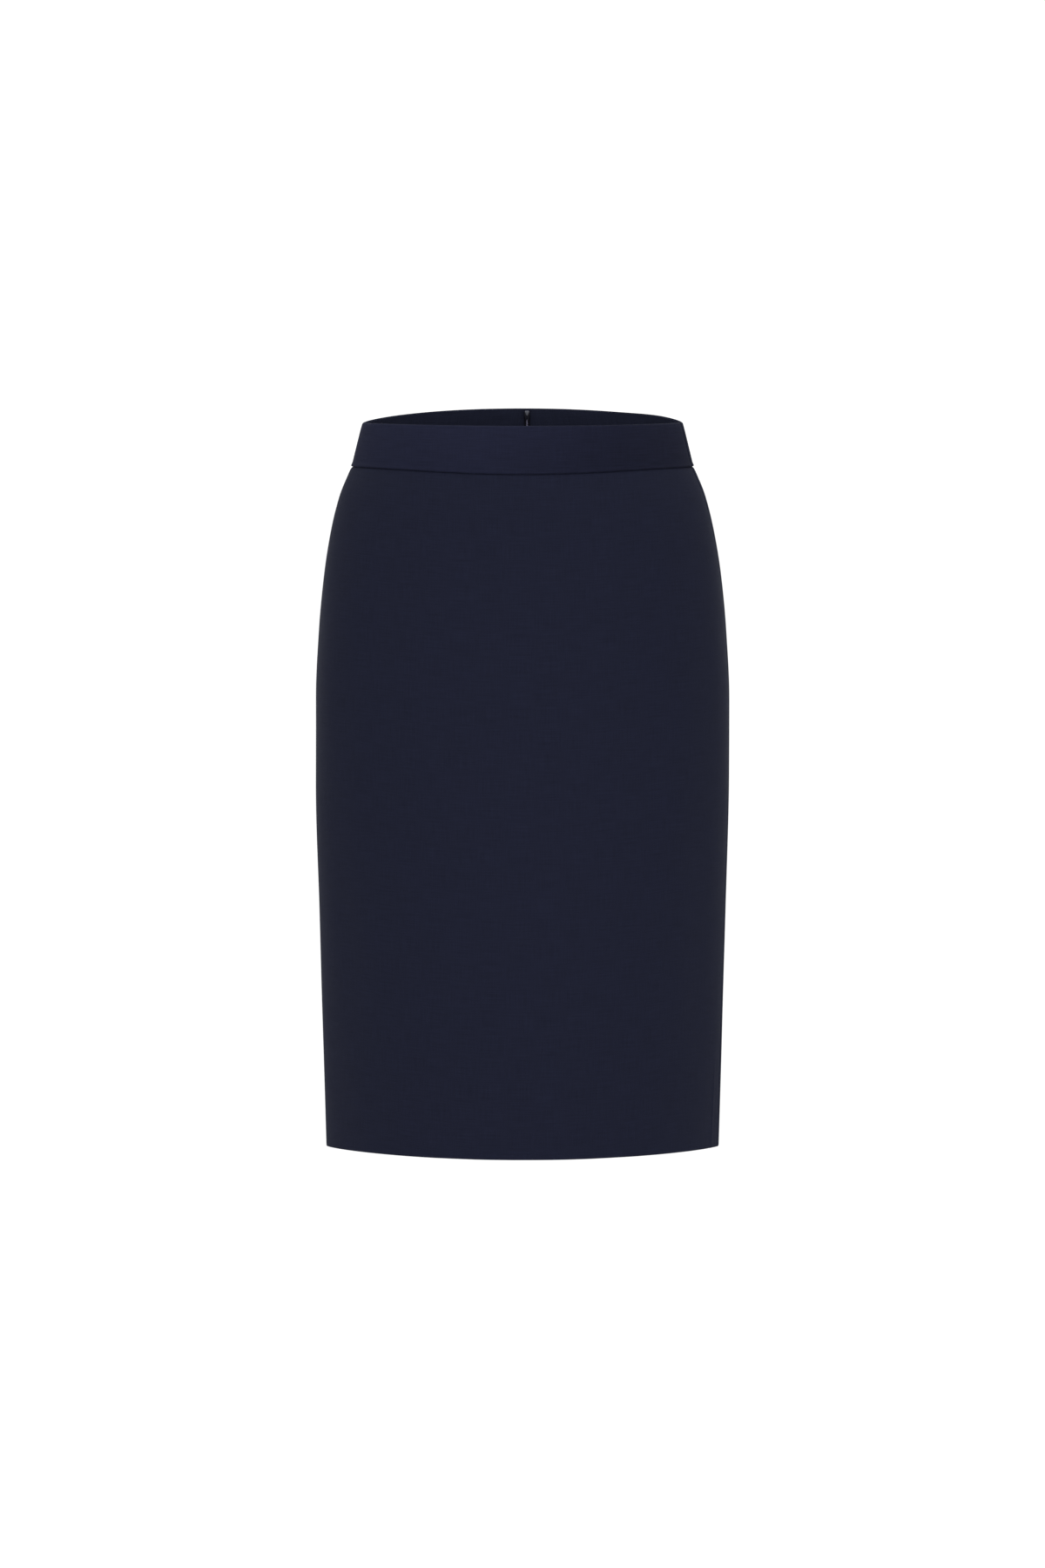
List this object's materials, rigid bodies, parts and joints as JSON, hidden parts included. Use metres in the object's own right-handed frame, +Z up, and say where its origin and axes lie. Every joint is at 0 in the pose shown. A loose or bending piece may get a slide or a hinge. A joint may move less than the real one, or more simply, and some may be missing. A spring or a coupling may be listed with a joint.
{
  "type": "pencil skirt",
  "caption": "Knee-length pencil skirt with a shaped waistband, a lapped back vent and a concealed back zip, hollow and filled out as worn.",
  "frame": {"origin": "centre of the waist opening, level with the waistband's top edge at the side seams, where the wearer's waist holds the skirt", "axes": "+Z up through the waist, -Y towards the skirt's front, +X towards the wearer's left"},
  "size_m": [0.3382, 0.2502, 0.602],
  "materials": {
    "suiting": "fine dark navy plain-weave suiting, matt with a faint sheen",
    "waistband": "the same suiting, interfaced and pressed flat",
    "facing": "the same suiting, wrong side",
    "zip_tape": "fine knitted zip tape",
    "zip_coil": "pale lilac-grey nylon coil",
    "zip_metal": "dull nickel"
  },
  "bodies": {
    "skirt": {"front_panel": "suiting", "back_panel_left": "suiting", "back_panel_right": "suiting", "waistband_front": "waistband", "waistband_back_left": "waistband", "waistband_back_right": "waistband", "facing_front": "facing", "facing_back_left": "facing", "facing_back_right": "facing", "zip_tape_left": "zip_tape", "zip_tape_right": "zip_tape", "zip_coil": "zip_coil", "zip_slider": "zip_metal"},
    "pull_tab": {"zip_pull_tab": "zip_metal"}
  },
  "joints": [
    {"name": "pull_tab_hinge", "type": "hinge", "parent": "skirt", "child": "pull_tab", "pos_m": [0.00374, 0.09423, 0.00489], "axis": [1, 0, 0], "range_deg": [0, 165]}
  ]
}
